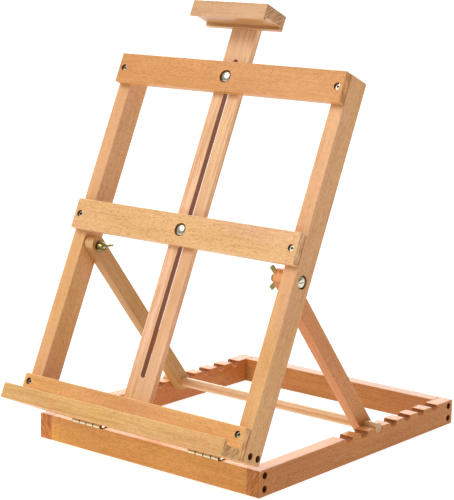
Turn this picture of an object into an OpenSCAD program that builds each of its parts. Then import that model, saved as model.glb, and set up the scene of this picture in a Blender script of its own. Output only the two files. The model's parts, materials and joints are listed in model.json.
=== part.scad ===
// Tabletop artist easel: a notched base frame, a ladder-shaped panel hinged to its front rail, a pair of
// legs with a round crossbar that props the panel up, a canvas shelf and a clamp on a sliding mast.
// Origin: middle of the object's box, on the table. +X is the user's right, +Y the back, +Z up.

/* [Base frame] */
// Width of the base frame and of the panel
base_w = 330; // [280:1:420]
// Depth of the base frame, front to back
base_d = 384; // [370:1:460]
// Height of the base rails
base_h = 30; // [26:1:36]
// Thickness of the base rails
rail_t = 18; // [16:1:22]
// Pairs of notches in the side rails
notch_count = 7; // [3:1:7]
// Notch that holds the crossbar, counted from the front
notch_used = 3; // [2:1:4]
// Distance from the front of the base to the first notch
notch_first = 164.5; // [150:0.5:175]
// Distance between two notches
notch_pitch = 29.8; // [24:0.1:30]
// Width of a notch
notch_w = 13.3; // [12.8:0.1:16]
// Depth of a notch below the rail's top
notch_depth = 7.3; // [6:0.1:9]

/* [Panel] */
// Length of the two uprights
upright_h = 434; // [380:1:480]
// Width of an upright, seen from the front
upright_w = 18; // [16:1:22]
// Depth of an upright, front to back
upright_d = 30; // [28:1:34]
// Height of each crosswise bar
bar_h = 36; // [30:1:42]
// Thickness of each crosswise bar
bar_t = 10; // [9:1:14]
// Height of the middle bar's lower edge above the foot of the panel
middle_bar_z = 214.5; // [150:0.5:260]
// Height of the hidden rail between the uprights' feet
bottom_rail_h = 18; // [16:1:24]
// Height of the leg pivots above the foot of the panel
pivot_z = 201.7; // [180:0.1:215]

/* [Canvas shelf] */
// Depth of the shelf in front of the lower bar
shelf_d = 29; // [20:1:40]
// Height of the shelf's floor above the foot of the panel
shelf_floor = 12.5; // [9:0.5:14]
// Height of the shelf's lip above its floor
lip_h = 5.4; // [3:0.1:8]
// Thickness of the lip
lip_t = 4; // [3:0.5:6]

/* [Mast and canvas clamp] */
// Width of the mast
mast_w = 38; // [30:1:48]
// Thickness of the mast
mast_t = 8; // [6:0.5:10]
// Lower end of the mast above the foot of the panel
mast_foot = 30; // [24:1:36]
// Length of the mast
mast_len = 463.4; // [420:0.1:500]
// Width of the slot in the mast
slot_w = 7; // [6.6:0.1:9]
// Width of the canvas clamp
clamp_w = 108; // [80:1:140]
// Depth of the canvas clamp, in front of the mast
clamp_d = 38; // [30:1:48]
// Height of the canvas clamp
clamp_h = 19.2; // [14:0.1:24]

/* [Legs] */
// Width of a leg
leg_w = 20; // [18:1:24]
// Thickness of a leg
leg_t = 13; // [10:1:14]
// Distance between a leg's pivot and the crossbar
leg_len = 251.3; // [245:0.1:256]
// Distance from a leg's pivot to the centre of its round upper end
leg_over = 3; // [0:0.5:3]
// Diameter of the crossbar
crossbar_d = 12; // [10:0.5:12.5]

/* [Hinges] */
// Length of each hinge
hinge_len = 44; // [36:1:60]
// Distance from the middle of the easel to the middle of a hinge
hinge_x = 88; // [70:1:110]
// Radius of the hinge knuckles
knuckle_r = 2.4; // [2:0.1:3]
// Thickness of the hinge leaves
leaf_t = 1.2; // [1:0.1:1.5]
// Width of a hinge leaf behind the knuckles
leaf_w = 12; // [11:0.5:15]

/* [Hardware] */
// Diameter of the machine bolts
bolt_d = 6; // [5:0.5:6]
// Diameter of the bolt heads
bolt_head_d = 13.4; // [11:0.1:14]
// Diameter of the holes that sink the bolt heads
sink_d = 15.5; // [14.5:0.5:16]
// Diameter of the wood screws' shanks
screw_d = 4; // [3:0.5:4.5]
// Diameter of the wood screws' heads
screw_head_d = 7; // [6:0.1:7.4]
// Diameter of the holes that sink the screws
screw_sink_d = 8; // [7.8:0.1:9]
// Span of a wing nut, tip to tip
wing_span = 27.5; // [24:0.5:30]

/* [Hidden] */
$fn = 64;
ease = 0.6;              // chamfer on the edges of the wooden pieces
slide_gap = 0.15;        // between pieces that slide or turn on each other
run_gap = 0.05;          // round a shaft that turns
bolt_r = bolt_d / 2;
screw_r = screw_d / 2;
half_w = base_w / 2;
inner_w = half_w - rail_t;
foot_inner = half_w - upright_w;

// The hinge axis lies at the front top edge of the base and at the back bottom edge of the panel.
hinge_y = -0.4;
hinge_z = base_h + knuckle_r;
panel_hinge_y = upright_d + knuckle_r;
panel_hinge_z = -1.5;

// The crossbar rests in the notch in use, with a hair of clearance.
crossbar_r = crossbar_d / 2;
crossbar_y = notch_first + (notch_used - 1) * notch_pitch;
crossbar_z = base_h - notch_depth + crossbar_r + slide_gap;

// The lean closes the triangle of hinge, leg pivot and crossbar.
pivot_y = upright_d / 2;
arm = norm([pivot_z - panel_hinge_z, panel_hinge_y - pivot_y]);
arm_angle = atan2(panel_hinge_y - pivot_y, pivot_z - panel_hinge_z);
reach = norm([crossbar_y - hinge_y, crossbar_z - hinge_z]);
reach_angle = atan2(crossbar_z - hinge_z, crossbar_y - hinge_y);
hinge_corner = acos((arm * arm + reach * reach - leg_len * leg_len) / (2 * arm * reach));
lean = 90 + arm_angle - reach_angle - hinge_corner;

// Foot of the panel's front face, seen from the front of the base.
panel_y = hinge_y - panel_hinge_y * cos(lean) - panel_hinge_z * sin(lean);
panel_z = hinge_z + panel_hinge_y * sin(lean) - panel_hinge_z * cos(lean);

// Leg pivot in the base's frame, and the legs' slope from hanging straight down.
leg_pivot_y = panel_y + pivot_y * cos(lean) + pivot_z * sin(lean);
leg_pivot_z = panel_z - pivot_y * sin(lean) + pivot_z * cos(lean);
leg_slope = atan2(crossbar_y - leg_pivot_y, leg_pivot_z - crossbar_z);

// The lowest front edge of the shelf is the object's foremost point, the base's back is its rearmost.
shelf_front = bar_t + shelf_d;
front_y = panel_y - shelf_front * cos(lean);
middle_y = (front_y + base_d) / 2;

// Stack along each leg bolt, from the upright's inner face towards the middle: leg, washer, wing nut.
washer_t = 0.8;
washer_r = 6.8;
washer_hole_r = bolt_r + 0.3;
leg_outer = foot_inner - 2 * slide_gap;
leg_inner = leg_outer - leg_t;
leg_washer_x = leg_inner - slide_gap - washer_t;
leg_nut_x = leg_washer_x - slide_gap;

// Stack along each mast bolt, from the bars' back face to the rear.
mast_front = slide_gap;
mast_back = mast_front + mast_t;
mast_washer_y = mast_back + slide_gap;
mast_nut_y = mast_washer_y + washer_t + slide_gap;

bolt_head_h = 3.2;
bolt_dome_r = 16;
bolt_sink = bolt_head_h; // the top of each dome is level with the wood
leg_bolt_len = 37;
mast_bolt_len = 27;
top_bar_z = upright_h - bar_h;
bar_inset = 1;           // the bars and the shelf stop just short of the uprights' outer faces
bar_len = base_w - 2 * bar_inset;
bar_screw_x = half_w - upright_w / 2;
lower_screw_z = 0.75 * bar_h;
bar_screw_len = 26;
bar_screw_sink = 5;
screw_head_h = 2.6;
frame_screw_len = 36;
frame_screw_sink = 9;
rail_screw_z = [8.4, 23.6];
foot_screw_y = [10, 24];
foot_screw_z = 8.5;
mast_bolt_z = [top_bar_z + bar_h / 2, middle_bar_z + bar_h / 2];
slot_low = mast_bolt_z[1] - 167.1;    // centres of the round ends of the mast's slot
slot_high = mast_bolt_z[0] + 20.8;
clamp_z = mast_foot + mast_len - clamp_h + 2;
clamp_land = 6.5;        // part of the clamp's underside that stays proud at the back
clamp_lip = 3.2;
clamp_groove = 4.2;
clamp_screw_x = 11;
clamp_screw_len = 22;
knuckle_count = 4;
knuckle_len = hinge_len / knuckle_count;
knuckle_gap = 0.25;
pin_r = 1.2;
leaf_start = knuckle_r + 0.3;
leaf_screw_x = 14;
leaf_screw_len = 12;
leaf_screw_r = 1.4;
leaf_head_r = 2.7;
notch_r = notch_w / 2;

beech = [0.88, 0.67, 0.47];
beech_warm = [0.85, 0.60, 0.38];
pale_wood = [0.93, 0.80, 0.60];
steel = [0.72, 0.72, 0.68];
zinc = [0.66, 0.62, 0.42];
brass = [0.86, 0.78, 0.55];

// ---- Frames ----

// Children are drawn in the base's frame, whose y = 0 is the front of the base.
module in_base() translate([0, -middle_y, 0]) children();

// Children are drawn in the panel's frame: z runs up the panel, y = 0 is the uprights' front face.
module in_panel() in_base() translate([0, panel_y, panel_z]) rotate([-lean, 0, 0]) children();

// Children are drawn about the leg pivots, with the legs hanging down along -z.
module in_legs() in_base() translate([0, leg_pivot_y, leg_pivot_z]) rotate([leg_slope, 0, 0]) children();

module both_sides() {
    children();
    mirror([1, 0, 0]) children();
}

// ---- Shapes used again and again ----

module eased_rect(a, b, e) {
    polygon([[e, 0], [a - e, 0], [a, e], [a, b - e], [a - e, b], [e, b], [0, b - e], [0, e]]);
}

// A planed board with every edge eased, one corner at the origin
module board(x, y, z, e = ease) {
    intersection() {
        linear_extrude(z) eased_rect(x, y, e);
        translate([0, y, 0]) rotate([90, 0, 0]) linear_extrude(y) eased_rect(x, z, e);
        rotate([90, 0, 90]) linear_extrude(x) eased_rect(y, z, e);
    }
}

// A hole or shank along +z
module rod(r, len) cylinder(r = r, h = len);

// Bolt with a domed head above z = 0 and its shank below
module bolt(len, slotted) {
    head_r = bolt_head_d / 2;
    difference() {
        intersection() {
            rod(head_r, bolt_head_h);
            translate([0, 0, bolt_head_h - bolt_dome_r]) sphere(bolt_dome_r);
        }
        if (slotted) translate([-head_r - 1, -0.8, bolt_head_h - 1.6]) cube([bolt_head_d + 2, 1.6, 4]);
    }
    translate([0, 0, -len]) rod(bolt_r, len + 0.1);
}

// Stepped hole for a bolt whose head sits sunk below the surface at z = 0
module bolt_hole(sink, depth) {
    translate([0, 0, -sink]) rod(sink_d / 2, sink + 1);
    translate([0, 0, -depth]) rod(bolt_r, depth);
}

// Pan-head wood screw with a cross recess, its head above z = 0
module screw(len) {
    difference() {
        rod(screw_head_d / 2, screw_head_h);
        for (a = [0, 90])
            rotate(a) translate([-1.9, -0.5, screw_head_h - 1.2]) cube([3.8, 1, 2]);
    }
    translate([0, 0, -len]) rod(screw_r, len + 0.1);
}

module screw_hole(sink, depth) {
    translate([0, 0, -sink]) rod(screw_sink_d / 2, sink + 1);
    translate([0, 0, -depth]) rod(screw_r, depth);
}

// Countersunk hinge screw, its head flush with z = 0
module leaf_screw() {
    difference() {
        cylinder(r1 = leaf_screw_r, r2 = leaf_head_r, h = leaf_t);
        translate([-2, -0.35, leaf_t - 0.5]) cube([4, 0.7, 1]);
    }
    translate([0, 0, leaf_t - leaf_screw_len]) rod(leaf_screw_r, leaf_screw_len - leaf_t);
}

module washer() {
    difference() {
        rod(washer_r, washer_t);
        translate([0, 0, -1]) rod(washer_hole_r, washer_t + 2);
    }
}

// Wing nut standing on z = 0, turning about the z axis
module wing_nut() {
    hub_r = 6;
    hub_h = 7;
    wing_h = 11.4;
    wing_t = 2.8;
    root_x = hub_r - 2.6;
    tip_x = wing_span / 2;
    blade = [
        [root_x, 0.8], [hub_r + 0.5, 0.8], [tip_x, wing_h - 4.2], [tip_x, wing_h - 3],
        [tip_x - 2.9, wing_h], [tip_x - 4, wing_h], [root_x, 5.4]
    ];
    difference() {
        union() {
            cylinder(r1 = hub_r, r2 = hub_r - 1.2, h = hub_h);
            for (side = [0, 180])
                rotate([90, 0, side]) translate([0, 0, -wing_t / 2]) linear_extrude(wing_t) polygon(blade);
        }
        translate([0, 0, -1]) rod(bolt_r + run_gap, wing_h + 2);
    }
}

// ---- Base frame ----

module rail_screws_at(side_y) {
    for (z = rail_screw_z)
        translate([half_w, side_y, z]) rotate([0, 90, 0]) children();
}

module cross_rail_screws() {
    both_sides()
        for (y = [rail_t / 2, base_d - rail_t / 2]) rail_screws_at(y) children();
}

module leaf_screws_at(side) {
    for (x = [-leaf_screw_x, leaf_screw_x])
        translate([side * hinge_x + x, hinge_y + leaf_start + (leaf_w - knuckle_r) / 2, base_h]) children();
}

module base_front_rail() color(beech_warm) in_base() difference() {
    translate([-inner_w, 0, 0]) board(2 * inner_w, rail_t, base_h);
    cross_rail_screws() screw_hole(frame_screw_sink, frame_screw_len + frame_screw_sink);
    for (side = [-1, 1]) leaf_screws_at(side) translate([0, 0, leaf_t]) leaf_pilot();
}

module leaf_pilot() translate([0, 0, -leaf_screw_len]) rod(leaf_screw_r, leaf_screw_len);

module base_rear_rail() color(beech_warm) in_base() difference() {
    translate([-inner_w, base_d - rail_t, 0]) board(2 * inner_w, rail_t, base_h);
    cross_rail_screws() screw_hole(frame_screw_sink, frame_screw_len + frame_screw_sink);
}

module notch() translate([inner_w - 1, 0, 0]) {
    translate([0, 0, notch_r - notch_depth]) rotate([0, 90, 0]) rod(notch_r, rail_t + 2);
    translate([0, -notch_r, notch_r - notch_depth]) cube([rail_t + 2, notch_w, notch_depth]);
}

module side_rail() difference() {
    translate([inner_w, 0, 0]) board(rail_t, base_d, base_h);
    cross_rail_screws() screw_hole(frame_screw_sink, frame_screw_len + frame_screw_sink);
    for (k = [0 : notch_count - 1])
        translate([0, notch_first + k * notch_pitch, base_h]) notch();
}

module base_right_rail() color(beech) in_base() side_rail();

module base_left_rail() color(beech) in_base() mirror([1, 0, 0]) side_rail();

module base_corner_screws() color(steel) in_base()
    cross_rail_screws() translate([0, 0, -frame_screw_sink]) screw(frame_screw_len);

// ---- Hinges ----

// Knuckles number first, first + 2 ... along x, about the origin
module knuckles(first, bore_r) {
    for (k = [first : 2 : knuckle_count - 1])
        translate([-hinge_len / 2 + k * knuckle_len + knuckle_gap, 0, 0]) rotate([0, 90, 0]) difference() {
            rod(knuckle_r, knuckle_len - 2 * knuckle_gap);
            translate([0, 0, -1]) rod(bore_r, knuckle_len + 2);
        }
}

// Hinge leaf lying below and behind its knuckles, drilled for its screws
module leaf(first, bore_r) {
    knuckles(first, bore_r);
    difference() {
        union() {
            translate([-hinge_len / 2, leaf_start, -knuckle_r]) cube([hinge_len, leaf_w - knuckle_r, leaf_t]);
            for (k = [first : 2 : knuckle_count - 1])
                translate([-hinge_len / 2 + k * knuckle_len + knuckle_gap, bore_r, -knuckle_r])
                    cube([knuckle_len - 2 * knuckle_gap, leaf_start - bore_r + 0.1, leaf_t]);
        }
        for (x = [-leaf_screw_x, leaf_screw_x])
            translate([x, leaf_start + (leaf_w - knuckle_r) / 2, -knuckle_r])
                cylinder(r1 = leaf_screw_r, r2 = leaf_head_r, h = leaf_t);
    }
}

module base_leaf(side) color(brass) in_base()
    translate([side * hinge_x, hinge_y, hinge_z]) leaf(1, pin_r);

module hinge_base_leaf_left() base_leaf(-1);

module hinge_base_leaf_right() base_leaf(1);

// The panel leaf stands up the panel's back, with its knuckles between the base leaf's.
module panel_leaf(side) color(brass) in_panel()
    translate([side * hinge_x, panel_hinge_y, panel_hinge_z])
        rotate([90, 0, 0]) mirror([0, 0, 1]) leaf(0, pin_r + run_gap);

module hinge_panel_leaf_left() panel_leaf(-1);

module hinge_panel_leaf_right() panel_leaf(1);

module hinge_pin(side) color(steel) in_base()
    translate([side * hinge_x - hinge_len / 2 - 0.5, hinge_y, hinge_z])
        rotate([0, 90, 0]) rod(pin_r, hinge_len + 1);

module hinge_pin_left() hinge_pin(-1);

module hinge_pin_right() hinge_pin(1);

module hinge_base_screws() color(brass) in_base()
    for (side = [-1, 1]) leaf_screws_at(side) leaf_screw();

// Screw places on the back of the panel's bottom rail, their heads facing the rear
module panel_leaf_screws_at(side) {
    for (x = [-leaf_screw_x, leaf_screw_x])
        translate([side * hinge_x + x, upright_d, panel_hinge_z + leaf_start + (leaf_w - knuckle_r) / 2])
            rotate([-90, 0, 0]) children();
}

module hinge_panel_screws() color(brass) in_panel()
    for (side = [-1, 1]) panel_leaf_screws_at(side) leaf_screw();

// ---- Panel ----

module foot_screws_at() {
    for (y = foot_screw_y)
        translate([half_w, y, foot_screw_z]) rotate([0, 90, 0]) children();
}

// Places of the screws that hold the three bars, their heads facing the front
module bar_screws_at(z) {
    for (x = [-bar_screw_x, bar_screw_x])
        translate([x, -bar_t, z]) rotate([90, 0, 0]) children();
}

module all_bar_screws_at() {
    bar_screws_at(mast_bolt_z[0]) children();
    bar_screws_at(mast_bolt_z[1]) children();
    bar_screws_at(lower_screw_z) children();
}

module leg_bolt_at() translate([half_w, pivot_y, pivot_z]) rotate([0, 90, 0]) children();

module upright() difference() {
    translate([foot_inner, 0, 0]) board(upright_w, upright_d, upright_h);
    foot_screws_at() screw_hole(frame_screw_sink, frame_screw_len + frame_screw_sink);
    all_bar_screws_at() screw_hole(bar_screw_sink, bar_screw_len + bar_screw_sink);
    leg_bolt_at() bolt_hole(bolt_sink, leg_bolt_len);
}

module right_upright() color(beech) in_panel() upright();

module left_upright() color(beech) in_panel() mirror([1, 0, 0]) upright();

module panel_bottom_rail() color(beech_warm) in_panel() difference() {
    translate([-foot_inner, 0, 0]) board(2 * foot_inner, upright_d, bottom_rail_h);
    both_sides() foot_screws_at() screw_hole(frame_screw_sink, frame_screw_len + frame_screw_sink);
    for (side = [-1, 1]) panel_leaf_screws_at(side) translate([0, 0, leaf_t]) leaf_pilot();
}

module bottom_rail_screws() color(steel) in_panel()
    both_sides() foot_screws_at() translate([0, 0, -frame_screw_sink]) screw(frame_screw_len);

module bar(z, screw_z) difference() {
    translate([-bar_len / 2, -bar_t, z]) board(bar_len, bar_t, bar_h);
    bar_screws_at(screw_z) screw_hole(bar_screw_sink, bar_screw_len + bar_screw_sink);
    children();
}

module mast_bolt_at(z) translate([0, -bar_t, z]) rotate([90, 0, 0]) children();

module top_bar() color(beech) in_panel()
    bar(top_bar_z, mast_bolt_z[0]) mast_bolt_at(mast_bolt_z[0]) bolt_hole(bolt_sink, mast_bolt_len);

module middle_bar() color(beech) in_panel()
    bar(middle_bar_z, mast_bolt_z[1]) mast_bolt_at(mast_bolt_z[1]) bolt_hole(bolt_sink, mast_bolt_len);

module lower_bar() color(beech_warm) in_panel() bar(0, lower_screw_z);

module bar_screws() color(steel) in_panel()
    all_bar_screws_at() translate([0, 0, -bar_screw_sink]) screw(bar_screw_len);

// L-shaped strip: a floor for the canvas's lower edge and a lip in front of it
module canvas_shelf() color(beech_warm) in_panel()
    translate([-bar_len / 2, 0, 0]) rotate([90, 0, 90]) linear_extrude(bar_len)
        polygon([
            [-bar_t, 0], [-shelf_front, 0],
            [-shelf_front, shelf_floor + lip_h - ease], [-shelf_front + ease, shelf_floor + lip_h],
            [-shelf_front + lip_t - ease, shelf_floor + lip_h],
            [-shelf_front + lip_t, shelf_floor + lip_h - ease],
            [-shelf_front + lip_t, shelf_floor], [-bar_t, shelf_floor]
        ]);

module mast_bolt(z) color(steel) in_panel()
    mast_bolt_at(z) translate([0, 0, -bolt_sink]) bolt(mast_bolt_len, false);

module upper_mast_bolt() mast_bolt(mast_bolt_z[0]);

module middle_mast_bolt() mast_bolt(mast_bolt_z[1]);

module mast_washers() color(zinc) in_panel()
    for (z = mast_bolt_z) translate([0, mast_washer_y, z]) rotate([-90, 0, 0]) washer();

// The screwdriver slot in each leg bolt's head lies level when the panel leans on its legs.
module leg_bolt() leg_bolt_at()
    translate([0, 0, -bolt_sink]) rotate(90 + lean) bolt(leg_bolt_len, true);

module leg_bolt_right() color(steel) in_panel() leg_bolt();

module leg_bolt_left() color(steel) in_panel() mirror([1, 0, 0]) leg_bolt();

// ---- Mast ----

module clamp_screws_at() {
    both_sides() translate([clamp_screw_x, mast_back, clamp_z + clamp_h / 2]) rotate([-90, 0, 0]) children();
}

module mast() color(pale_wood) in_panel() difference() {
    translate([-mast_w / 2, mast_front, mast_foot]) board(mast_w, mast_t, mast_len);
    translate([0, -1, 0]) rotate([-90, 0, 0]) {
        for (z = [slot_low, slot_high]) translate([0, -z, 0]) rod(slot_w / 2, mast_t + 3);
        translate([-slot_w / 2, -slot_high, 0]) cube([slot_w, slot_high - slot_low, mast_t + 3]);
    }
    clamp_screws_at() screw_hole(screw_head_h, clamp_screw_len + screw_head_h);
}

// Block with a groove underneath that catches the canvas's upper edge
module canvas_clamp() color(beech) in_panel() difference() {
    translate([-clamp_w / 2, mast_front - clamp_d, clamp_z]) board(clamp_w, clamp_d, clamp_h);
    translate([-clamp_w / 2 - 1, mast_front - clamp_d + clamp_lip, clamp_z - 1])
        cube([clamp_w + 2, clamp_d - clamp_lip - clamp_land, clamp_groove + 1]);
    clamp_screws_at() screw_hole(screw_head_h, clamp_screw_len + screw_head_h);
}

module clamp_screws() color(steel) in_panel()
    clamp_screws_at() translate([0, 0, -screw_head_h]) screw(clamp_screw_len);

// ---- Legs and crossbar ----

// Flat leg with round ends, drilled for its pivot bolt and for the crossbar
module leg() difference() {
    translate([leg_inner, 0, 0]) rotate([90, 0, 90]) linear_extrude(leg_t) {
        translate([0, leg_over]) circle(leg_w / 2);
        translate([-leg_w / 2, -leg_len]) square([leg_w, leg_len + leg_over]);
        translate([0, -leg_len]) circle(leg_w / 2);
    }
    translate([leg_inner - 1, 0, 0]) rotate([0, 90, 0]) {
        rod(bolt_r + run_gap, leg_t + 2);
        translate([leg_len, 0, 0]) rod(crossbar_r, leg_t + 2);
    }
}

module right_leg() color(beech_warm) in_legs() leg();

module left_leg() color(beech_warm) in_legs() mirror([1, 0, 0]) leg();

module crossbar() color(pale_wood) in_legs()
    translate([-half_w, 0, -leg_len]) rotate([0, 90, 0]) {
        cylinder(r1 = crossbar_r - ease, r2 = crossbar_r, h = ease);
        translate([0, 0, ease]) rod(crossbar_r, base_w - 2 * ease);
        translate([0, 0, base_w - ease]) cylinder(r1 = crossbar_r, r2 = crossbar_r - ease, h = ease);
    }

module leg_washers() color(zinc) in_legs() both_sides()
    translate([leg_washer_x, 0, 0]) rotate([0, 90, 0]) washer();

// ---- Wing nuts ----

module mast_wing_nut(z, turn) color(zinc) in_panel()
    translate([0, mast_nut_y, z]) rotate([-90, 0, 0]) rotate(turn) wing_nut();

module wing_nut_upper() mast_wing_nut(mast_bolt_z[0], 20);

module wing_nut_middle() mast_wing_nut(mast_bolt_z[1], -35);

module leg_wing_nut(turn)
    translate([leg_nut_x, pivot_y, pivot_z]) rotate([0, -90, 0]) rotate(turn) wing_nut();

module wing_nut_right() color(zinc) in_panel() leg_wing_nut(-18);

module wing_nut_left() color(zinc) in_panel() mirror([1, 0, 0]) leg_wing_nut(52);

base_front_rail();
base_rear_rail();
base_left_rail();
base_right_rail();
base_corner_screws();
hinge_base_leaf_left();
hinge_base_leaf_right();
hinge_pin_left();
hinge_pin_right();
hinge_base_screws();
left_upright();
right_upright();
panel_bottom_rail();
bottom_rail_screws();
top_bar();
middle_bar();
lower_bar();
bar_screws();
canvas_shelf();
hinge_panel_leaf_left();
hinge_panel_leaf_right();
hinge_panel_screws();
upper_mast_bolt();
middle_mast_bolt();
mast_washers();
leg_bolt_left();
leg_bolt_right();
mast();
canvas_clamp();
clamp_screws();
left_leg();
right_leg();
crossbar();
leg_washers();
wing_nut_upper();
wing_nut_middle();
wing_nut_left();
wing_nut_right();
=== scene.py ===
"""Tabletop artist easel: beech finishes, detailed hardware, studio light and camera round the CAD frame."""
import json
import math

import bmesh
import bpy
from mathutils import Matrix, Vector

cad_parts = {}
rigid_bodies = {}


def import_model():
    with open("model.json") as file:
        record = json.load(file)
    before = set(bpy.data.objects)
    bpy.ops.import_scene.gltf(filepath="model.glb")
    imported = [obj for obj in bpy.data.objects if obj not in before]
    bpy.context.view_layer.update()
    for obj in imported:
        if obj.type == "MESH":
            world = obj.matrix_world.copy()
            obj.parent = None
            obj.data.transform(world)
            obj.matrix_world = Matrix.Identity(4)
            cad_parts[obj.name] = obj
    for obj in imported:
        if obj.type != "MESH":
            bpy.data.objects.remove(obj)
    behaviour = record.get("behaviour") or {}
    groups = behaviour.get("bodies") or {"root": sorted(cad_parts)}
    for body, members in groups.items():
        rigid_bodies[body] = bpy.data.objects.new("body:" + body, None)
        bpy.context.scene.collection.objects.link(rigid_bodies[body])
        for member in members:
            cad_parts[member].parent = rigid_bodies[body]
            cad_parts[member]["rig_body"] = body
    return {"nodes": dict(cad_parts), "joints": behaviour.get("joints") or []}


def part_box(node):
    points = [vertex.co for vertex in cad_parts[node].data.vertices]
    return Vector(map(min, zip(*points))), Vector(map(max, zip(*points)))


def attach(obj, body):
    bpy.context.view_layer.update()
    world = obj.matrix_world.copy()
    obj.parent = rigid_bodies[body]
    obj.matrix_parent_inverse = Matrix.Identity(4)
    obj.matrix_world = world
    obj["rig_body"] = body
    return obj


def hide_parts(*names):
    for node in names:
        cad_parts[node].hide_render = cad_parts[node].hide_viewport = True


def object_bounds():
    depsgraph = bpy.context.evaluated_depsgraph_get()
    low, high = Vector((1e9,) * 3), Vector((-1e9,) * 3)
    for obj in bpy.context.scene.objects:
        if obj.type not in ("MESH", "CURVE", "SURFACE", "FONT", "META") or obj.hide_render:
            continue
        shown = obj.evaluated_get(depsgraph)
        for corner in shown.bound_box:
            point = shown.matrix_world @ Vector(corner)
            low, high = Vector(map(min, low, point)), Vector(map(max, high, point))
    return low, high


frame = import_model()
cad_low, cad_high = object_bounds()
NODES = frame["nodes"]
JOINTS = {joint["name"]: joint for joint in frame["joints"]}
MM = 0.001

# Directions of the object at rest: the panel leans back, and its own up is the mast's way of sliding
X_AXIS = Vector((1, 0, 0))
Y_AXIS = Vector((0, 1, 0))
Z_AXIS = Vector((0, 0, 1))
PANEL_UP = Vector(JOINTS["mast_slide"]["axis"]).normalized()
PANEL_BACK = PANEL_UP.cross(X_AXIS)


# ---------------------------------------------------------------- node helpers

class Graph:
    """A node tree, with short calls for the nodes that the finishes use."""

    def __init__(self, tree):
        self.tree = tree

    def node(self, kind, **settings):
        made = self.tree.nodes.new(kind)
        for name, value in settings.items():
            setattr(made, name, value)
        return made

    def put(self, socket, value):
        if isinstance(value, bpy.types.NodeSocket):
            self.tree.links.new(value, socket)
        else:
            socket.default_value = value

    def math(self, operation, first, second=0.0, clamp=False):
        node = self.node("ShaderNodeMath", operation=operation, use_clamp=clamp)
        self.put(node.inputs[0], first)
        self.put(node.inputs[1], second)
        return node.outputs[0]

    def add(self, first, second):
        return self.math("ADD", first, second)

    def minus(self, first, second):
        return self.math("SUBTRACT", first, second)

    def times(self, first, second, clamp=False):
        return self.math("MULTIPLY", first, second, clamp)

    def larger(self, first, second):
        return self.math("MAXIMUM", first, second)

    def absolute(self, value):
        return self.math("ABSOLUTE", value)

    def vector(self, operation, first, second):
        node = self.node("ShaderNodeVectorMath", operation=operation)
        self.put(node.inputs[0], first)
        self.put(node.inputs[1], second)
        return node.outputs["Value" if operation == "DOT_PRODUCT" else "Vector"]

    def dot(self, first, direction):
        return self.vector("DOT_PRODUCT", first, tuple(direction))

    def noise(self, place, stretch, detail=2.0, roughness=0.5):
        """Noise with stretch cells to the metre along each axis of place."""
        node = self.node("ShaderNodeTexNoise")
        self.put(node.inputs["Vector"], self.vector("MULTIPLY", place, stretch))
        node.inputs["Scale"].default_value = 1.0
        node.inputs["Detail"].default_value = detail
        node.inputs["Roughness"].default_value = roughness
        return node.outputs["Fac"]

    def ramp(self, factor, low, high):
        """Smooth step from 0 at low to 1 at high."""
        node = self.node("ShaderNodeMapRange", interpolation_type="SMOOTHSTEP")
        self.put(node.inputs["Value"], factor)
        node.inputs["From Min"].default_value = low
        node.inputs["From Max"].default_value = high
        return node.outputs["Result"]

    def mix(self, factor, first, second):
        node = self.node("ShaderNodeMix", data_type="RGBA")
        self.put(node.inputs[0], factor)
        self.put(node.inputs[6], first)
        self.put(node.inputs[7], second)
        return node.outputs[2]

    def openness(self, distance):
        """1 out in the open, less where the piece's own surface is near."""
        node = self.node("ShaderNodeAmbientOcclusion", samples=8, only_local=True)
        node.inputs["Distance"].default_value = distance
        return node.outputs["AO"]


def new_material(name):
    """A material, its graph and its shader."""
    material = bpy.data.materials.new(name)
    material.use_nodes = True
    return material, Graph(material.node_tree), material.node_tree.nodes["Principled BSDF"]


def bump(g, shader, height, strength, distance):
    node = g.node("ShaderNodeBump")
    node.inputs["Strength"].default_value = strength
    node.inputs["Distance"].default_value = distance
    g.put(node.inputs["Height"], height)
    g.put(shader.inputs["Normal"], node.outputs["Normal"])


def linear(red, green, blue):
    """Linear colour from an 8-bit display colour."""
    def one(value):
        value = value / 255
        return value / 12.92 if value <= 0.04045 else ((value + 0.055) / 1.055) ** 2.4
    return (one(red), one(green), one(blue), 1)


def shade(colour, red, green, blue):
    """The colour with each channel scaled."""
    return (min(1, colour[0] * red), min(1, colour[1] * green), min(1, colour[2] * blue), 1)


# ---------------------------------------------------------------- camera, stage and light

CAMERA_AZIMUTH = math.radians(39.14)      # to the object's right of straight ahead
CAMERA_ELEVATION = math.radians(10.73)
CAMERA_ROLL = math.radians(1.04)
CAMERA_DISTANCE = 1.979
CAMERA_LENS = 122.04
CAMERA_SENSOR = 36
CAMERA_NEAR = 0.05
AIM_SHIFT = Vector((-0.0055, -0.0119))    # of the aim point from the middle of the box, in X and Y
AIM_HEIGHT = 0.4409                       # share of the object's height

ROOM_COLOUR = (1.0, 0.99, 0.98, 1)
ROOM_LEVEL = 0.34
ROOM_PANELS = (
    # direction, the cosines between which the panel fades in, and its level
    (Vector((-0.55, 0.83, 0)), 0.1, 0.8, 0.62),                    # white cyclorama behind
    (Vector((-0.6, 0.77, 0.2)).normalized(), 0.72, 0.95, 3.1),     # bright patch that the tops reflect
    (Z_AXIS, 0.15, 0.95, 0.42),                                    # ceiling
    (Vector((0.93, -0.3, 0.1)).normalized(), 0.1, 0.9, -0.22),     # darker to the right
)
FLOOR_HALF = 90.0
FLOOR_GREY = 0.34
FLOOR_GLOW = 0.86
KEY_ENERGY = 1.75
KEY_ANGLE = math.radians(32)
KEY_COLOUR = (1.0, 0.985, 0.96)
KEY_FROM = Vector((-0.45, -0.68, 0.78))


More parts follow.
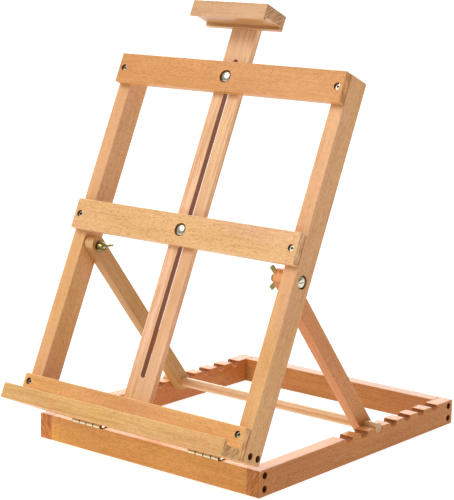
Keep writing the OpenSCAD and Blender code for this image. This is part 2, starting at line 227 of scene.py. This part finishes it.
def make_camera():
    middle = (cad_low + cad_high) / 2
    height = cad_high.z - cad_low.z
    aim = Vector((middle.x + AIM_SHIFT.x, middle.y + AIM_SHIFT.y, cad_low.z + AIM_HEIGHT * height))
    flat = math.cos(CAMERA_ELEVATION)
    ahead = Vector((
        -math.sin(CAMERA_AZIMUTH) * flat,
        math.cos(CAMERA_AZIMUTH) * flat,
        -math.sin(CAMERA_ELEVATION),
    ))
    level = Vector((math.cos(CAMERA_AZIMUTH), math.sin(CAMERA_AZIMUTH), 0))
    upright = level.cross(ahead)
    right = level * math.cos(CAMERA_ROLL) + upright * math.sin(CAMERA_ROLL)
    up = right.cross(ahead)
    data = bpy.data.cameras.new("camera")
    data.lens = CAMERA_LENS
    data.sensor_width = CAMERA_SENSOR
    data.clip_start = CAMERA_NEAR
    camera = bpy.data.objects.new("camera", data)
    bpy.context.scene.collection.objects.link(camera)
    turn = Matrix((right, up, -ahead)).transposed().to_4x4()
    camera.matrix_world = Matrix.Translation(aim - ahead * CAMERA_DISTANCE) @ turn
    bpy.context.scene.camera = camera


def make_world():
    """A white cyclorama behind and above the object, and a darker room to its right and front."""
    world = bpy.data.worlds.new("studio")
    bpy.context.scene.world = world
    world.use_nodes = True
    g = Graph(world.node_tree)
    direction = g.node("ShaderNodeTexCoord").outputs["Generated"]
    level = ROOM_LEVEL
    for towards, start, full, strength in ROOM_PANELS:
        level = g.add(level, g.times(g.ramp(g.dot(direction, towards), start, full), strength))
    ground = g.node("ShaderNodeBackground")
    g.put(ground.inputs["Color"], ROOM_COLOUR)
    g.put(ground.inputs["Strength"], level)
    for node in g.tree.nodes:
        if node.type == "OUTPUT_WORLD":
            g.put(node.inputs["Surface"], ground.outputs[0])


def make_floor():
    """A white floor that glows a little, so that it stays as white as the room."""
    half = FLOOR_HALF
    mesh = bpy.data.meshes.new("floor")
    corners = [(-half, -half, 0), (half, -half, 0), (half, half, 0), (-half, half, 0)]
    mesh.from_pydata(corners, [], [(0, 1, 2, 3)])
    floor = bpy.data.objects.new("floor", mesh)
    bpy.context.scene.collection.objects.link(floor)
    material, _, shader = new_material("floor_white")
    shader.inputs["Base Color"].default_value = (FLOOR_GREY, FLOOR_GREY, FLOOR_GREY, 1)
    shader.inputs["Roughness"].default_value = 0.95
    shader.inputs["Specular IOR Level"].default_value = 0.0
    shader.inputs["Emission Color"].default_value = (1, 1, 1, 1)
    shader.inputs["Emission Strength"].default_value = FLOOR_GLOW
    mesh.materials.append(material)


def make_lights():
    """One broad, soft key from the front left and above."""
    data = bpy.data.lights.new("key", "SUN")
    data.energy = KEY_ENERGY
    data.angle = KEY_ANGLE
    data.color = KEY_COLOUR
    key = bpy.data.objects.new("key", data)
    bpy.context.scene.collection.objects.link(key)
    key.rotation_euler = KEY_FROM.to_track_quat("Z", "Y").to_euler()


# ---------------------------------------------------------------- pieces

MERGE = 0.002 * MM               # corners nearer to each other than this are one


def give_only(mesh, material):
    mesh.materials.clear()
    mesh.materials.append(material)
    for polygon in mesh.polygons:
        polygon.material_index = 0


def paint(node, material):
    give_only(NODES[node].data, material)


def stand_in(piece, node):
    """The piece takes the place of a CAD node and moves with its body."""
    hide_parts(node)
    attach(piece, NODES[node]["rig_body"])


def copy_of(node):
    """A copy of a CAD node's mesh, with the split corners joined."""
    shape = bmesh.new()
    shape.from_mesh(NODES[node].data)
    bmesh.ops.remove_doubles(shape, verts=shape.verts, dist=MERGE)
    bmesh.ops.recalc_face_normals(shape, faces=shape.faces)
    return shape


def to_piece(shape, name, material):
    """An object from a bmesh, without the CAD's own normals, which no longer fit it."""
    mesh = bpy.data.meshes.new(name)
    shape.to_mesh(mesh)
    shape.free()
    if "custom_normal" in mesh.attributes:
        mesh.attributes.remove(mesh.attributes["custom_normal"])
    give_only(mesh, material)
    piece = bpy.data.objects.new(name, mesh)
    bpy.context.scene.collection.objects.link(piece)
    return piece


def piece_from(fill, name, material):
    """An object from a bmesh that fill makes in millimetres."""
    shape = bmesh.new()
    fill(shape)
    bmesh.ops.scale(shape, vec=(MM, MM, MM), verts=shape.verts)
    bmesh.ops.recalc_face_normals(shape, faces=shape.faces)
    return to_piece(shape, name, material)


def smooth(piece, angle):
    """Smooth shading, apart from edges sharper than the angle in degrees."""
    for polygon in piece.data.polygons:
        polygon.use_smooth = True
    piece.data.set_sharp_from_angle(angle=math.radians(angle))


def apply_modifiers(piece):
    """Replaces the piece's mesh with what its modifiers make of it."""
    graph = bpy.context.evaluated_depsgraph_get()
    made = bpy.data.meshes.new_from_object(piece.evaluated_get(graph))
    piece.modifiers.clear()
    piece.data = made


def box_shape(low, high):
    """Builder of a plain box, used only to cut other pieces."""
    def fill(shape):
        bmesh.ops.create_cube(shape, size=1)
        size = Vector(high) - Vector(low)
        middle = (Vector(high) + Vector(low)) / 2
        bmesh.ops.scale(shape, vec=size, verts=shape.verts)
        bmesh.ops.translate(shape, vec=middle, verts=shape.verts)
    return fill


def cut(piece, cutter):
    """Takes the cutter away from the piece, and the cutter out of the scene."""
    step = piece.modifiers.new("cut", "BOOLEAN")
    step.operation = "DIFFERENCE"
    step.solver = "EXACT"
    step.object = cutter
    apply_modifiers(piece)
    bpy.data.objects.remove(cutter)


def axis_matrix(origin, axis, spin_from):
    """Local z along axis, local x as near to spin_from as it can be, at origin."""
    z = axis.normalized()
    x = (spin_from - z * spin_from.dot(z)).normalized()
    y = z.cross(x)
    return Matrix.Translation(origin) @ Matrix((x, y, z)).transposed().to_4x4()


def off_axis(place, centre, axis):
    """From the axis through centre straight out to the place."""
    return (place - centre) - axis * (place - centre).dot(axis)


def reach(node, axis):
    """Lowest and highest place of a node's vertices along an axis."""
    places = [vertex.co.dot(axis) for vertex in NODES[node].data.vertices]
    return min(places), max(places)


def reach_side(node):
    """+X for a node on the object's right, -X for one on its left."""
    low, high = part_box(node)
    return X_AXIS if (low.x + high.x) > 0 else -X_AXIS


# ---------------------------------------------------------------- wood

BEECH = (0.72, 0.38, 0.15, 1)
ARRIS = 0.6 * MM                 # how far the long edges are rounded
LONG_EDGE = 5 * MM               # shorter edges stay sharp
SQUARE = math.radians(70)        # and so do blunter ones
BOARD_CREASE = 20                # degrees
CORNER_SHADE_REACH = 11 * MM           # how far the painted shade of a hole or an inside corner reaches
SLOT_FADE = (1.2 * MM, 0.6 * MM)  # past the slot's half width: where its painted shade ends and where it is full
WOOD_SPECULAR = 0.14
WOOD_ROUGHNESS = 0.30            # where the grain is closed
OPEN_ROUGHNESS = 0.24            # added where it is open
COAT_ROUGHNESS = 0.24
GRAIN_RELIEF = 0.2 * MM
LACQUER = 0.16                   # coat weights
CLAMP_LACQUER = 0.5
MAST_LACQUER = 0.2
CROSSBAR_LACQUER = 0.6
MAST_SLOT_HALF = 3.5 * MM


def directions(g, place, ways, offset):
    """The place measured along three directions, offset so that no two boards have the same grain."""
    join = g.node("ShaderNodeCombineXYZ")
    for k, way in enumerate(ways):
        g.put(join.inputs[k], g.dot(place, way))
    return g.vector("ADD", join.outputs[0], (offset, 0.31 * offset, 0.19 * offset))


def side_grain(g, place, facing_dashes, colour, flecks, streaks):
    """Growth lines and short dashes along the grain. Gives the tone, the fine grain and the dashes."""
    # The grain wanders slowly across the board
    wander = g.times(g.minus(g.noise(place, (7, 16, 16)), 0.5), 0.016)
    shift = g.node("ShaderNodeCombineXYZ")
    g.put(shift.inputs[1], wander)
    g.put(shift.inputs[2], wander)
    bent = g.vector("ADD", place, shift.outputs[0])

    bands = g.ramp(g.noise(bent, (2.6, 70, 90), 3.0, 0.6), 0.36, 0.66)
    lines = g.ramp(g.noise(bent, (9, 330, 360), 2.0, 0.55), 0.47, 0.62)
    fine = g.noise(bent, (30, 620, 620), 2.0, 0.6)
    dashes = g.ramp(g.noise(bent, (230, 1350, 300), 1.0, 0.45), 0.535, 0.62)
    pores = g.ramp(g.noise(bent, (460, 2600, 900), 1.0, 0.5), 0.54, 0.66)
    patches = g.ramp(g.noise(place, (11, 34, 30), 2.0), 0.32, 0.70)
    drift = g.ramp(g.noise(place, (5, 22, 22), 1.0), 0.38, 0.62)

    dark = shade(colour, 0.76, 0.64, 0.50)
    light = shade(colour, 1.14, 1.20, 1.34)
    dash_colour = shade(colour, 0.66, 0.45, 0.28)
    shown = g.add(g.times(g.ramp(facing_dashes, 0.3, 0.8), 0.72), 0.28)
    tone = g.mix(drift, shade(colour, 1.03, 1.03, 0.90), shade(colour, 1.0, 0.95, 1.10))
    tone = g.mix(g.times(bands, 0.50 * streaks), tone, dark)
    tone = g.mix(g.times(lines, 0.62 * streaks, clamp=True), tone, dark)
    tone = g.mix(g.times(g.ramp(fine, 0.46, 0.74), 0.30 + 0.30 * streaks), tone, dark)
    tone = g.mix(g.times(patches, 0.34), tone, light)
    tone = g.mix(g.times(g.times(dashes, shown), 0.60 * flecks, clamp=True), tone, dash_colour)
    tone = g.mix(g.times(g.times(pores, shown), 0.34 * flecks, clamp=True), tone, dash_colour)
    return tone, fine, dashes


def end_grain(g, place, colour):
    """Browner wood with the growth rings across it."""
    ring_lines = g.ramp(g.noise(place, (60, 75, 620), 2.0, 0.6), 0.40, 0.62)
    speckle = g.ramp(g.noise(place, (60, 900, 1500), 1.0, 0.5), 0.42, 0.66)
    tone = g.mix(ring_lines, shade(colour, 1.13, 1.14, 1.16), shade(colour, 0.62, 0.47, 0.43))
    return g.mix(g.times(speckle, 0.40), tone, shade(colour, 0.42, 0.30, 0.26))


def wood(name, along, across, colour, seed, flecks, streaks, rings, hollow_shade, coat, slot_half=0.0):
    """Oiled beech. along is the grain, across the other direction of the face that shows the short dashes.

    flecks is how strongly the dashes show and streaks how strongly the long growth lines do. rings is the
    tilt of the rings on the end grain, hollow how dark the painted shade in holes and inside corners is,
    coat the weight of the lacquer, and slot_half the half width of a slot along the middle of the board,
    with painted shade on its walls.
    """
    material, g, shader = new_material(name)
    through = along.cross(across).normalized()
    coords = g.node("ShaderNodeTexCoord")
    spot = coords.outputs["Object"]
    normal = coords.outputs["Normal"]
    facing_end = g.absolute(g.dot(normal, along))
    facing_edge = g.absolute(g.dot(normal, across))
    facing_dashes = g.absolute(g.dot(normal, through))

    place = directions(g, spot, (along, across, through), 0.37 * seed)
    tone, fine, dashes = side_grain(g, place, facing_dashes, colour, flecks, streaks)
    ring_way = through * math.cos(rings) + across * math.sin(rings)
    end_place = directions(g, spot, (along, along.cross(ring_way), ring_way), 0.71 * seed)
    tone = g.mix(g.ramp(facing_end, 0.80, 0.92), tone, end_grain(g, end_place, colour))

    # Rounded arrises get paler from rubbed wear and a painted highlight, and holes, notches and inside
    # corners get painted shade
    squareness = g.larger(g.larger(facing_end, facing_edge), facing_dashes)
    openness = g.openness(CORNER_SHADE_REACH)
    # Paler arrises: rubbed wear plus a painted highlight
    rubbed_wear_and_highlight = g.times(g.ramp(squareness, 0.965, 0.90), g.ramp(openness, 0.80, 0.95))
    tone = g.mix(g.times(rubbed_wear_and_highlight, 0.45), tone, shade(colour, 1.25, 1.45, 1.9))
    # Painted shade in holes, notches and inside corners
    painted_hollow_shade = g.times(g.ramp(openness, 0.74, 0.25), hollow_shade)
    # Painted shade on the cut end grain walls of notches, on top of their darker end grain
    cut_end_grain_and_shade = g.times(g.times(g.ramp(openness, 0.99, 0.84), g.ramp(facing_end, 0.25, 0.75)), 0.85 * hollow_shade)
    tone = g.mix(g.larger(painted_hollow_shade, cut_end_grain_and_shade), tone, shade(colour, 0.24, 0.11, 0.06))
    # The slot's walls get painted shade
    if slot_half:
        outer, inner = SLOT_FADE
        near_slot = g.ramp(g.absolute(g.dot(spot, across)), slot_half + outer, slot_half + inner)
        slot_wall_shade = g.times(near_slot, g.ramp(facing_dashes, 0.5, 0.3))
        tone = g.mix(g.times(slot_wall_shade, 0.9), tone, shade(colour, 0.36, 0.19, 0.11))

    g.put(shader.inputs["Base Color"], tone)
    g.put(shader.inputs["Roughness"], g.add(g.times(fine, OPEN_ROUGHNESS), WOOD_ROUGHNESS))
    shader.inputs["Specular IOR Level"].default_value = WOOD_SPECULAR
    shader.inputs["Coat Weight"].default_value = coat
    shader.inputs["Coat Roughness"].default_value = COAT_ROUGHNESS
    relief = g.add(g.times(fine, 0.5), g.times(dashes, -0.30))
    bump(g, shader, relief, 0.30, GRAIN_RELIEF)
    return material


def rounded_board(node, material):
    """A board with its long square edges rounded, as sanding leaves them."""
    shape = copy_of(node)
    edges = [
        edge for edge in shape.edges
        if len(edge.link_faces) == 2 and edge.is_convex
        and edge.calc_length() > LONG_EDGE and edge.calc_face_angle() > SQUARE
    ]
    bmesh.ops.bevel(
        shape, geom=edges, offset=ARRIS, offset_type="OFFSET", segments=2, profile=0.5,
        affect="EDGES", clamp_overlap=True)
    piece = to_piece(shape, node + "_sanded", material)
    smooth(piece, BOARD_CREASE)
    stand_in(piece, node)


def leg_direction():
    """From the legs' pivot to their crossbar."""
    low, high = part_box("crossbar")
    run = (low + high) / 2 - Vector(JOINTS["leg_swing"]["pos_m"])
    return Vector((0, run.y, run.z)).normalized()


def paint_wood():
    leg_run = leg_direction()
    leg_side = X_AXIS.cross(leg_run)
    boards = {
        # grain, across, tint of the beech, flecks, streaks
        "base_front_rail": (X_AXIS, Z_AXIS, (1.13, 1.07, 0.70), 1.0, 0.7),
        "base_rear_rail": (X_AXIS, Z_AXIS, (0.69, 0.55, 0.38), 0.9, 0.7),
        "base_left_rail": (Y_AXIS, Z_AXIS, (0.87, 0.60, 0.36), 1.3, 0.6),
        "base_right_rail": (Y_AXIS, Z_AXIS, (0.82, 0.62, 0.36), 1.1, 0.9),
        "left_upright": (PANEL_UP, PANEL_BACK, (0.99, 1.04, 1.14), 0.9, 0.5),
        "right_upright": (PANEL_UP, PANEL_BACK, (0.99, 1.04, 1.14), 0.9, 0.5),
        "panel_bottom_rail": (X_AXIS, PANEL_BACK, (1.00, 1.00, 0.90), 1.0, 0.5),
        "top_bar": (X_AXIS, PANEL_UP, (0.92, 0.82, 0.69), 0.9, 0.5),
        "middle_bar": (X_AXIS, PANEL_UP, (1.04, 1.18, 1.40), 0.95, 0.5),
        "lower_bar": (X_AXIS, PANEL_UP, (1.17, 1.25, 1.22), 0.7, 0.6),
        "canvas_shelf": (X_AXIS, PANEL_UP, (0.97, 1.10, 1.06), 0.8, 1.1),
        "canvas_clamp": (X_AXIS, PANEL_UP, (0.80, 0.84, 0.82), 0.5, 0.9),
        "left_leg": (leg_run, leg_side, (0.80, 0.87, 0.79), 0.7, 0.8),
        "right_leg": (leg_run, leg_side, (0.92, 0.74, 0.58), 1.0, 0.6),
    }
    # The two milled boards, whose inside corners get less painted shade than a drilled hole
    hollow_shades = {"canvas_clamp": 0.15, "canvas_shelf": 0.6}
    for seed, (node, (along, across, tint, flecks, streaks)) in enumerate(boards.items(), start=1):
        rings = 0.8 if node in hollow_shades else -0.5 + 0.31 * (seed % 4)
        coat = CLAMP_LACQUER if node == "canvas_clamp" else LACQUER
        hollow_shade = hollow_shades.get(node, 0.9)
        colour = shade(BEECH, *tint)
        finish = wood(
            "beech_" + node, along, across, colour, seed, flecks, streaks, rings, hollow_shade, coat)
        rounded_board(node, finish)
    mast_finish = wood(
        "pale_beech_mast", PANEL_UP, X_AXIS, shade(BEECH, 1.16, 1.38, 2.00), seed=40, flecks=0.4,
        streaks=2.0, rings=0.3, hollow_shade=0.4, coat=MAST_LACQUER, slot_half=MAST_SLOT_HALF)
    rounded_board("mast", mast_finish)
    crossbar_finish = wood(
        "pale_beech_crossbar", X_AXIS, Z_AXIS, shade(BEECH, 0.99, 1.13, 1.26), seed=41, flecks=0.4,
        streaks=0.6, rings=0.7, hollow_shade=0.3, coat=CROSSBAR_LACQUER)
    paint("crossbar", crossbar_finish)


# ---------------------------------------------------------------- metal

KNUCKLES = 4                     # of each hinge
SEAM_EDGES = (0.075, 0.045)      # of the painted shade in the gap between two knuckles, in knuckle lengths
RECESS_SHADE_REACH = 1.6 * MM          # how far the painted shade of a recess reaches
TOOL_MARKS = 0.05 * MM


def metal(name, colour, roughness, mottle, seam_shade=False):
    """Plated metal: cloudy plating, a fine tooled surface, and painted shade in its recesses and in the gaps
    between hinge knuckles.
    """
    material, g, shader = new_material(name)
    coords = g.node("ShaderNodeTexCoord").outputs["Object"]
    cloud = g.noise(coords, (420, 420, 420), 3.0)
    grain = g.noise(coords, (2600, 2600, 2600), 2.0)
    tone = g.mix(g.times(g.ramp(cloud, 0.35, 0.7), mottle), colour, shade(colour, 0.55, 0.50, 0.40))
    # Painted shade in the recesses
    recess_shade = g.times(g.ramp(g.openness(RECESS_SHADE_REACH), 0.72, 0.30), 0.9)
    tone = g.mix(recess_shade, tone, shade(colour, 0.06, 0.05, 0.04))
    # Painted shade in the gaps between the hinge knuckles
    if seam_shade:
        tone = g.mix(knuckle_seam_shade(g, coords), tone, shade(colour, 0.10, 0.07, 0.04))
    g.put(shader.inputs["Base Color"], tone)
    shader.inputs["Metallic"].default_value = 1.0
    g.put(shader.inputs["Roughness"], g.add(g.times(cloud, 0.16), roughness - 0.08))
    bump(g, shader, grain, 0.12, TOOL_MARKS)
    return material


def knuckle_seam_shade(g, coords):
    """1 in the gaps between the knuckles of both hinges, where painted shade goes."""
    inner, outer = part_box("hinge_base_leaf_right")
    length = (outer.x - inner.x) / KNUCKLES
    along = g.math("DIVIDE", g.minus(g.absolute(g.dot(coords, X_AXIS)), inner.x), length)
    off_seam = g.absolute(g.minus(g.math("FRACT", g.add(along, 0.5)), 0.5))
    return g.ramp(off_seam, *SEAM_EDGES)


STEEL = metal("bright_steel", linear(214, 212, 192), 0.20, 0.3)
SCREW_STEEL = metal("screw_steel", linear(190, 184, 166), 0.30, 0.4)
ZINC = metal("yellow_zinc", linear(150, 138, 88), 0.30, 0.6)
BRASS = metal("pale_brass", linear(240, 226, 188), 0.32, 0.3, seam_shade=True)


def paint_metal():
    finishes = {
        STEEL: ("hinge_pin_left", "hinge_pin_right"),
        ZINC: ("mast_washers", "leg_washers"),
        BRASS: ("hinge_base_leaf_left", "hinge_base_leaf_right", "hinge_panel_leaf_left",
                "hinge_panel_leaf_right", "hinge_base_screws", "hinge_panel_screws"),
    }
    for material, nodes in finishes.items():
        for node in nodes:
            paint(node, material)


# ---------------------------------------------------------------- bolts, in millimetres

ROUND = 48                       # points round a bolt, without a unit
THREAD_PITCH = 1.0
THREAD_DEPTH = 0.4
THREAD_LENGTH = 15.0
THREAD_STEP = THREAD_PITCH / 8
THREAD_FADE = 2.0                # over which the thread runs out into the plain shank
TIP_TAPER = 0.7                  # how much thinner the tip is, and over what length
TIP_LENGTH = 0.9
COLLAR_WIDTH = 0.5               # of the fillet under the head
COLLAR_LENGTH = 0.6
HEAD_HEIGHT = 3.2
RIM_SHARE = 0.48                 # of the head's height, below its dome
RIM_FOOT = 0.35                  # rounding at the foot of the rim
RIM_ROUND = 0.45                 # and at its top
RIM_STEP = 18                    # degrees
DOME_STEPS = 12
DRIVER_HALF = 0.8                # half width of the screwdriver slot
DRIVER_DEPTH = 1.5
CLEAR = 2                        # how far the cutter stands out of the head
BOLT_CREASE = 35                 # degrees


def ring(radius, height, count=ROUND):
    turn = 2 * math.pi / count
    return [(radius * math.cos(k * turn), radius * math.sin(k * turn), height) for k in range(count)]


def join_rows(shape, first, second):
    """Faces between two equal rings of vertices."""
    count = len(first)
    for k in range(count):
        other = (k + 1) % count
        shape.faces.new((first[k], first[other], second[other], second[k]))


def surface_of_rings(shape, rings):
    """Joins equal rings of points into a closed tube and caps its two ends."""
    rows = [[shape.verts.new(point) for point in points] for points in rings]
    for first, second in zip(rows, rows[1:]):
        join_rows(shape, first, second)
    shape.faces.new(rows[0])
    shape.faces.new(list(reversed(rows[-1])))


def thread_ring(shank_r, z, to_end, from_tip):
    """One ring of the thread at height z: a helix that fades into the plain shank and narrows at the tip.

    to_end is how far the ring is from the plain shank, and from_tip how far it is from the tip.
    """
    fade = min(1.0, to_end / THREAD_FADE)
    blunt = max(0.0, 1.0 - from_tip / TIP_LENGTH)
    points = []
    for k in range(ROUND):
        angle = 2 * math.pi * k / ROUND
        wave = abs(2 * ((z / THREAD_PITCH - k / ROUND) % 1.0) - 1)
        radius = shank_r - THREAD_DEPTH * wave * fade - TIP_TAPER * blunt
        points.append((radius * math.cos(angle), radius * math.sin(angle), z))
    return points


def bolt_shape(head_r, shank_r, length):
    """Builder of a bolt: domed head above z = 0, shank below it, threaded at its end."""
    def fill(shape):
        steps = [row * THREAD_STEP for row in range(int(THREAD_LENGTH / THREAD_STEP) + 1)]
        rings = [thread_ring(shank_r, step - length, steps[-1] - step, step) for step in steps]
        rings.append(ring(shank_r, -COLLAR_LENGTH))
        rings.append(ring(shank_r + COLLAR_WIDTH, 0.0))
        # the head: flat under, a rounded rim and a low dome
        rings.append(ring(head_r - RIM_FOOT, 0.0))
        rim = HEAD_HEIGHT * RIM_SHARE
        for angle in range(0, 91, RIM_STEP):
            inwards = RIM_ROUND * (1 - math.cos(math.radians(angle)))
            rings.append(ring(head_r - inwards, RIM_FOOT + (rim - RIM_FOOT) * angle / 90))
        for k in range(1, DOME_STEPS):
            angle = k / DOME_STEPS * math.pi / 2
            radius = (head_r - RIM_ROUND) * math.cos(angle)
            rings.append(ring(radius, rim + (HEAD_HEIGHT - rim) * math.sin(angle)))
        surface_of_rings(shape, rings)
    return fill


def make_bolt(node, axis, centre, slotted):
    """A detailed bolt in place of a CAD one. axis runs from the tip to the head, centre is on the bolt."""
    low, high = reach(node, axis)
    radii = [off_axis(vertex.co, centre, axis).length for vertex in NODES[node].data.vertices]
    head_r = max(radii) / MM
    shank_r = min(radius for radius in radii if radius > 2 * MM) / MM
    length = (high - low) / MM - HEAD_HEIGHT
    piece = piece_from(bolt_shape(head_r, shank_r, length), node + "_detailed", STEEL)
    if slotted:
        slot = box_shape(
            (-head_r - CLEAR, -DRIVER_HALF, HEAD_HEIGHT - DRIVER_DEPTH),
            (head_r + CLEAR, DRIVER_HALF, HEAD_HEIGHT + CLEAR))
        cut(piece, piece_from(slot, "cutter", STEEL))
    smooth(piece, BOLT_CREASE)
    seat = centre + axis * (high - HEAD_HEIGHT * MM - centre.dot(axis))
    piece.matrix_world = axis_matrix(seat, axis, Y_AXIS)
    stand_in(piece, node)


def make_bolts():
    for place in ("upper", "middle"):
        centre = Vector(JOINTS[place + "_nut_turn"]["pos_m"])
        make_bolt(place + "_mast_bolt", -PANEL_BACK, centre, slotted=False)
    for place in ("left", "right"):
        centre = Vector(JOINTS[place + "_nut_turn"]["pos_m"])
        node = "leg_bolt_" + place
        make_bolt(node, reach_side(node), centre, slotted=True)


# ---------------------------------------------------------------- wing nuts, in millimetres

NUT_ROUND = 64                   # points round a hub
HUB_RADIUS = 6.0
HUB_HEIGHT = 7.0
NUT_BORE = 3.05                  # radius
NUT_VOXEL = 0.28
NUT_CREASE = 180                 # degrees, so smooth all over


def add_hub(shape):
    """A tapered hub with a bore."""
    profile = [
        (NUT_BORE, 0.0), (HUB_RADIUS - 0.3, 0.0), (HUB_RADIUS, 0.3), (HUB_RADIUS, 1.5),
        (HUB_RADIUS - 0.35, 2.1), (HUB_RADIUS - 1.2, HUB_HEIGHT - 0.8), (HUB_RADIUS - 1.7, HUB_HEIGHT),
        (NUT_BORE + 0.5, HUB_HEIGHT), (NUT_BORE, HUB_HEIGHT - 0.5),
    ]
    rows = [[shape.verts.new(point) for point in ring(radius, z, NUT_ROUND)] for radius, z in profile]
    for first, second in zip(rows, rows[1:] + rows[:1]):
        join_rows(shape, first, second)


def add_wings(shape, span, height):
    """Two flared wings, thinner towards their tips."""
    tip = span / 2
    outline = [
        (HUB_RADIUS - 2.2, 1.0), (HUB_RADIUS + 0.3, 0.9), (tip - 0.3, height - 4.4), (tip, height - 3.8),
        (tip - 0.1, height - 3.0), (tip - 2.8, height - 0.1), (tip - 3.4, height),
        (tip - 4.0, height - 0.3), (HUB_RADIUS - 2.2, 5.2),
    ]
    for side in (1, -1):
        thick = [1.55 - 0.035 * x for x, _ in outline]
        front = [shape.verts.new((side * x, -t, z)) for (x, z), t in zip(outline, thick)]
        back = [shape.verts.new((side * x, t, z)) for (x, z), t in zip(outline, thick)]
        shape.faces.new(front)
        shape.faces.new(list(reversed(back)))
        for k in range(len(outline)):
            other = (k + 1) % len(outline)
            shape.faces.new((front[k], back[k], back[other], front[other]))


def wing_nut_shape(span, height):
    """Builder of the rough casting, later fused and smoothed."""
    def fill(shape):
        add_hub(shape)
        add_wings(shape, span, height)
    return fill


def make_wing_nuts():
    """Four cast wing nuts, each on its bolt, their wings where the CAD nuts have them."""
    for place in ("upper", "middle", "left", "right"):
        node = "wing_nut_" + place
        joint = JOINTS[place + "_nut_turn"]
        axis = Vector(joint["axis"]).normalized()
        centre = Vector(joint["pos_m"])
        # the wings of the leg nuts point inwards
        if axis.x and axis.dot(reach_side(node)) > 0:
            axis = -axis
        low, high = reach(node, axis)
        offsets = [off_axis(vertex.co, centre, axis) for vertex in NODES[node].data.vertices]
        wing = max(offsets, key=lambda offset: offset.length)
        casting = wing_nut_shape(2 * wing.length / MM, (high - low) / MM)
        piece = piece_from(casting, node + "_cast", ZINC)
        fuse = piece.modifiers.new("fuse", "REMESH")
        fuse.mode = "VOXEL"
        fuse.voxel_size = NUT_VOXEL * MM
        relax = piece.modifiers.new("relax", "SMOOTH")
        relax.factor = 0.5
        relax.iterations = 3
        apply_modifiers(piece)
        smooth(piece, NUT_CREASE)
        foot = centre + axis * (low - centre.dot(axis))
        piece.matrix_world = axis_matrix(foot, axis, wing)
        stand_in(piece, node)


# ---------------------------------------------------------------- screws

RECESS_ARM = 0.58                # of the second cross in each head, in head radii
RECESS_HALF = 0.13
RECESS_DEPTH = 0.55
RECESS_TURN = 25                 # degrees from the CAD's own cross
RECESS_CLEAR = 1                 # millimetres that the cutter stands out of the head
SCREW_CREASE = 30                # degrees


def loose_parts(node):
    """The corners of each separate solid of a CAD node."""
    shape = copy_of(node)
    seen = set()
    parts = []
    for start in shape.verts:
        if start in seen:
            continue
        seen.add(start)
        todo = [start]
        part = []
        while todo:
            vertex = todo.pop()
            part.append(vertex.co.copy())
            for edge in vertex.link_edges:
                other = edge.other_vert(vertex)
                if other not in seen:
                    seen.add(other)
                    todo.append(other)
        parts.append(part)
    shape.free()
    return parts


def head_of(part):
    """Outward axis, middle and radius of a screw's head."""
    middle = sum(part, Vector()) / len(part)
    ways = (X_AXIS, Y_AXIS, Z_AXIS, PANEL_UP, PANEL_BACK)
    axis = max(ways, key=lambda way: max(p.dot(way) for p in part) - min(p.dot(way) for p in part))
    widest = max(part, key=lambda p: off_axis(p, middle, axis).length)
    if (widest - middle).dot(axis) < 0:
        axis = -axis
    face = max(p.dot(axis) for p in part)
    radius = off_axis(widest, middle, axis).length
    return axis, middle + axis * (face - middle.dot(axis)), radius


def make_screws():
    """The pan-head screws, with a narrower and deeper cross cut beside the one that the CAD heads have."""
    for node in ("base_corner_screws", "bottom_rail_screws", "bar_screws", "clamp_screws"):
        piece = to_piece(copy_of(node), node + "_crossed", SCREW_STEEL)
        heads = [head_of(part) for part in loose_parts(node)]
        for turn in (0, 90):
            for axis, face, radius in heads:
                size = radius / MM
                long, wide, deep = RECESS_ARM * size, RECESS_HALF * size, RECESS_DEPTH * size
                arm = box_shape((-long, -wide, -deep), (long, wide, RECESS_CLEAR))
                cutter = piece_from(arm, "cutter", SCREW_STEEL)
                aside = Z_AXIS if abs(axis.z) < 0.8 else X_AXIS
                spin = Matrix.Rotation(math.radians(turn + RECESS_TURN), 4, "Z")
                cutter.matrix_world = axis_matrix(face, axis, aside) @ spin
                cut(piece, cutter)
        smooth(piece, SCREW_CREASE)
        stand_in(piece, node)


make_camera()
make_world()
make_floor()
make_lights()
paint_wood()
paint_metal()
make_screws()
make_bolts()
make_wing_nuts()

bpy.context.scene.view_settings.view_transform = "Standard"
bpy.context.view_layer.update()
